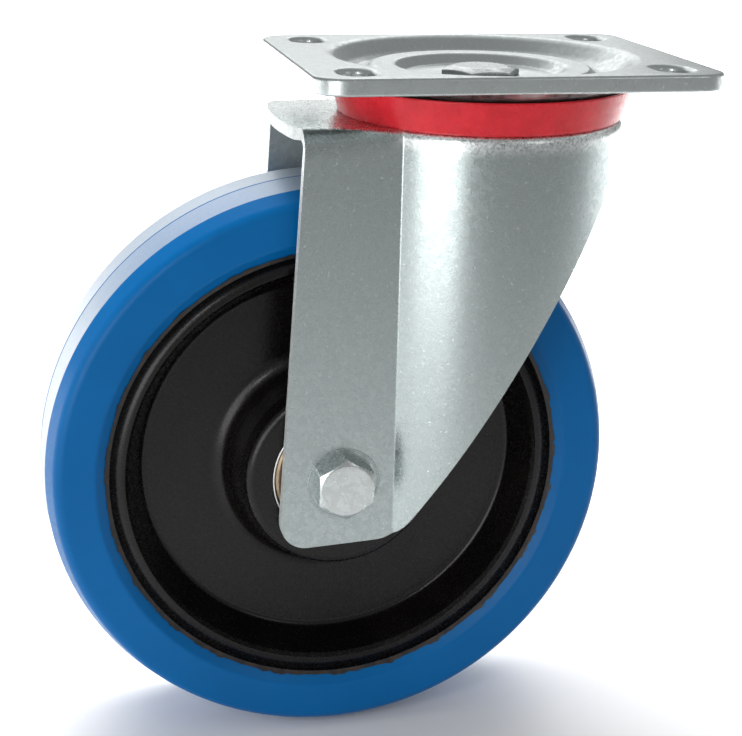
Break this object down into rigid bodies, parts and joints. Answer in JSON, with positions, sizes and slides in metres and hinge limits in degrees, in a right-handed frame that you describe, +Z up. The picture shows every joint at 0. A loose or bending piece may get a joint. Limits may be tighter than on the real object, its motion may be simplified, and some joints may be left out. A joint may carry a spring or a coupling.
{
  "type": "swivel caster",
  "caption": "Swivel castor: slotted top plate, ball-race swivel head with a red dust seal, pressed steel fork with trail, and a ball-bearing plastic wheel with an elastic blue tyre.",
  "frame": {"origin": "centre of the top plate's upper face, on the swivel axis", "axes": "+Z up along the swivel axis, +X along the wheel's axle towards the bolt's head, +Y the direction of travel, with the wheel trailing at -Y"},
  "size_m": [0.11, 0.2205, 0.24],
  "materials": {
    "zinc_sheet": "bright zinc-plated pressed steel, faintly mottled",
    "bright_steel": "bright zinc-plated fasteners",
    "race_steel": "ground bearing steel",
    "bearing_shield": "oiled, brownish pressed shields and cages",
    "red_seal": "satin red moulded plastic",
    "blue_tyre": "smooth satin blue elastic rubber",
    "black_rim": "satin black moulded plastic",
    "lock_insert": "blue nylon locking ring"
  },
  "bodies": {
    "mounting_plate": {"top_plate": "zinc_sheet", "king_bolt": "bright_steel", "lower_race": "race_steel", "king_washer": "zinc_sheet", "king_nut": "bright_steel"},
    "upper_ball_ring": {"upper_balls": "race_steel"},
    "lower_ball_ring": {"lower_balls": "race_steel"},
    "swivel_fork": {"fork": "zinc_sheet", "dust_seal": "red_seal", "axle_bolt": "bright_steel", "axle_washer": "zinc_sheet", "axle_nut": "bright_steel", "nut_insert": "lock_insert", "axle_sleeve": "race_steel", "bearing_spacer": "race_steel", "end_collars": "zinc_sheet", "inner_ring_near": "race_steel", "inner_ring_far": "race_steel"},
    "wheel": {"tyre": "blue_tyre", "rim": "black_rim", "outer_ring_near": "race_steel", "outer_ring_far": "race_steel", "shields_near": "bearing_shield", "shields_far": "bearing_shield"},
    "near_ball_set": {"balls_near": "race_steel", "cage_near": "bearing_shield"},
    "far_ball_set": {"balls_far": "race_steel", "cage_far": "bearing_shield"}
  },
  "joints": [
    {"name": "swivel", "type": "hinge", "parent": "mounting_plate", "child": "swivel_fork", "pos_m": [0, 0, -0.02], "axis": [0, 0, 1], "continuous": true},
    {"name": "upper_balls_orbit", "type": "hinge", "parent": "mounting_plate", "child": "upper_ball_ring", "pos_m": [0, 0, -0.01324], "axis": [0, 0, 1], "continuous": true},
    {"name": "lower_balls_orbit", "type": "hinge", "parent": "mounting_plate", "child": "lower_ball_ring", "pos_m": [0, 0, -0.022], "axis": [0, 0, 1], "continuous": true},
    {"name": "wheel_spin", "type": "hinge", "parent": "swivel_fork", "child": "wheel", "pos_m": [0, -0.053, -0.14], "axis": [1, 0, 0], "continuous": true},
    {"name": "near_balls_orbit", "type": "hinge", "parent": "swivel_fork", "child": "near_ball_set", "pos_m": [0.022, -0.053, -0.14], "axis": [1, 0, 0], "continuous": true},
    {"name": "far_balls_orbit", "type": "hinge", "parent": "swivel_fork", "child": "far_ball_set", "pos_m": [-0.022, -0.053, -0.14], "axis": [1, 0, 0], "continuous": true}
  ],
  "couplings": [
    {"joint": "upper_balls_orbit", "follows": "swivel", "ratio": 0.5},
    {"joint": "lower_balls_orbit", "follows": "swivel", "ratio": 0.5},
    {"joint": "near_balls_orbit", "follows": "wheel_spin", "ratio": 0.6185},
    {"joint": "far_balls_orbit", "follows": "wheel_spin", "ratio": 0.6185}
  ]
}
